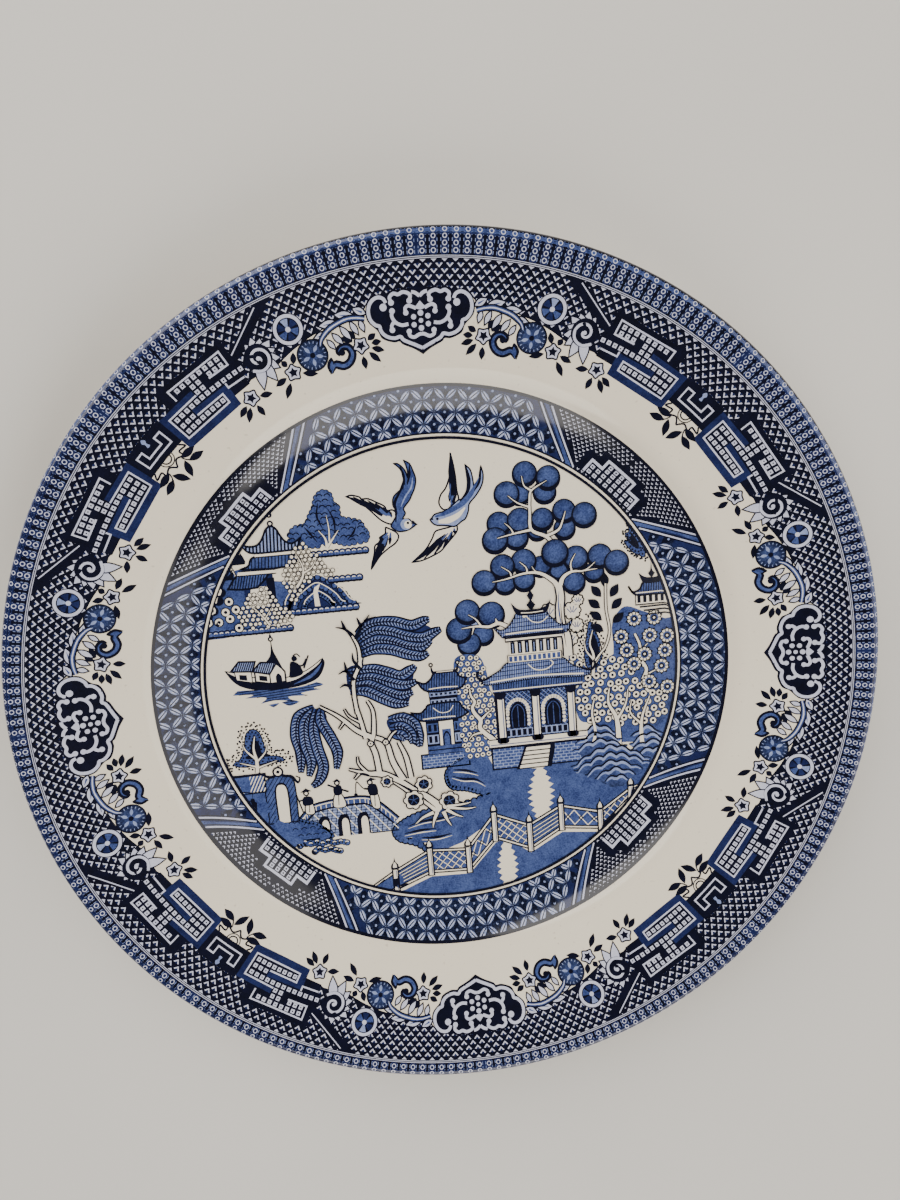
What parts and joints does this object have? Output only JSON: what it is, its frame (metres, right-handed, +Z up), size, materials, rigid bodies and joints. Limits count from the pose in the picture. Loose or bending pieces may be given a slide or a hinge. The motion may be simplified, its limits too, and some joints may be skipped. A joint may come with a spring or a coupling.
{
  "type": "dinner plate",
  "caption": "Round glazed earthenware dinner plate with a sunk well, wide sloping rim, foot ring and blue underglaze transfer prints.",
  "frame": {"origin": "centre of the plate on the plane that the foot ring stands on", "axes": "+Z up the plate's axis, towards the printed face; +Y towards the top of the printed scene; +X to the right of the scene"},
  "size_m": [0.26, 0.26, 0.024],
  "materials": {
    "white_glaze": "clear gloss glaze over a warm white earthenware body",
    "cobalt_print": "cobalt blue engraving under the same gloss glaze"
  },
  "bodies": {
    "root": {"plate_body": "white_glaze", "rim_border_print": "cobalt_print", "well_border_print": "cobalt_print", "centre_scene_print": "cobalt_print", "backstamp_print": "cobalt_print"}
  },
  "joints": []
}
